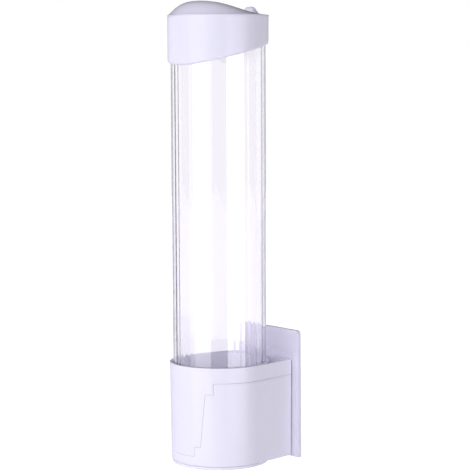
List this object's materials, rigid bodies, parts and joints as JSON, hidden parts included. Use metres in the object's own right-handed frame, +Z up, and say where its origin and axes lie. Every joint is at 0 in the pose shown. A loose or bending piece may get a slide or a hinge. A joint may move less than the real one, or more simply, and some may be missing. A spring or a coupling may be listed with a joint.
{
  "type": "cup dispenser",
  "caption": "Wall-mounted pull cup dispenser: clear ribbed tube with hinged lid above a housing with sprung claws that hangs on a hooked wall plate.",
  "frame": {"origin": "centre of the wall plate's back face, where it meets the wall", "axes": "+Y into the wall, -Y is the front, +Z up along the tube"},
  "size_m": [0.0952, 0.1079, 0.4313],
  "materials": {
    "white_shell": "smooth glossy white plastic with a cool tint",
    "white_plate": "smooth satin white plastic",
    "clear_tube": "clear polished plastic with small guide ribs inside",
    "inner_plastic": "plain moulded white plastic, slightly duller",
    "claw_plastic": "smooth slippery plastic",
    "steel": "plain zinc plated steel",
    "foam_tape": "white foam tape"
  },
  "bodies": {
    "wall_bracket": {"wall_plate": "white_plate", "mounting_tape": "foam_tape"},
    "base": {"housing_shell": "white_shell", "front_collar": "white_shell", "outlet_ring": "white_shell", "rear_cover": "white_plate", "rear_cover_screws": "steel", "claw_carrier": "inner_plastic", "carrier_screws": "steel", "claw_pin_1": "steel", "claw_pin_2": "steel", "claw_pin_3": "steel", "claw_pin_4": "steel", "claw_spring_1": "steel", "claw_spring_2": "steel", "claw_spring_3": "steel", "claw_spring_4": "steel"},
    "tube": {"cup_tube": "clear_tube", "lid_collar": "white_shell", "lid_pin": "steel"},
    "lid": {"lid": "white_shell"},
    "claw_1": {"claw_1": "claw_plastic"},
    "claw_2": {"claw_2": "claw_plastic"},
    "claw_3": {"claw_3": "claw_plastic"},
    "claw_4": {"claw_4": "claw_plastic"}
  },
  "joints": [
    {"name": "base_lift", "type": "slide", "parent": "wall_bracket", "child": "base", "axis": [0, 0, 1], "range_m": [0, 0.014]},
    {"name": "tube_lift", "type": "slide", "parent": "base", "child": "tube", "axis": [0, 0, 1], "range_m": [0, 0.037]},
    {"name": "lid_hinge", "type": "hinge", "parent": "tube", "child": "lid", "pos_m": [0, -0.0141, 0.35185], "axis": [-1, 0, 0], "range_deg": [0, 70]},
    {"name": "claw_1_hinge", "type": "hinge", "parent": "base", "child": "claw_1", "pos_m": [0.02927, -0.03133, -0.02175], "axis": [0.7071, -0.7071, 0], "range_deg": [0, 32], "stiffness_Nm_per_rad": 0.01, "springref_deg": -17.19, "deforming": ["claw_spring_1"]},
    {"name": "claw_2_hinge", "type": "hinge", "parent": "base", "child": "claw_2", "pos_m": [-0.02927, -0.03133, -0.02175], "axis": [0.7071, 0.7071, 0], "range_deg": [0, 32], "stiffness_Nm_per_rad": 0.01, "springref_deg": -17.19, "deforming": ["claw_spring_2"]},
    {"name": "claw_3_hinge", "type": "hinge", "parent": "base", "child": "claw_3", "pos_m": [-0.02927, -0.08987, -0.02175], "axis": [-0.7071, 0.7071, 0], "range_deg": [0, 32], "stiffness_Nm_per_rad": 0.01, "springref_deg": -17.19, "deforming": ["claw_spring_3"]},
    {"name": "claw_4_hinge", "type": "hinge", "parent": "base", "child": "claw_4", "pos_m": [0.02927, -0.08987, -0.02175], "axis": [-0.7071, -0.7071, 0], "range_deg": [0, 32], "stiffness_Nm_per_rad": 0.01, "springref_deg": -17.19, "deforming": ["claw_spring_4"]}
  ]
}
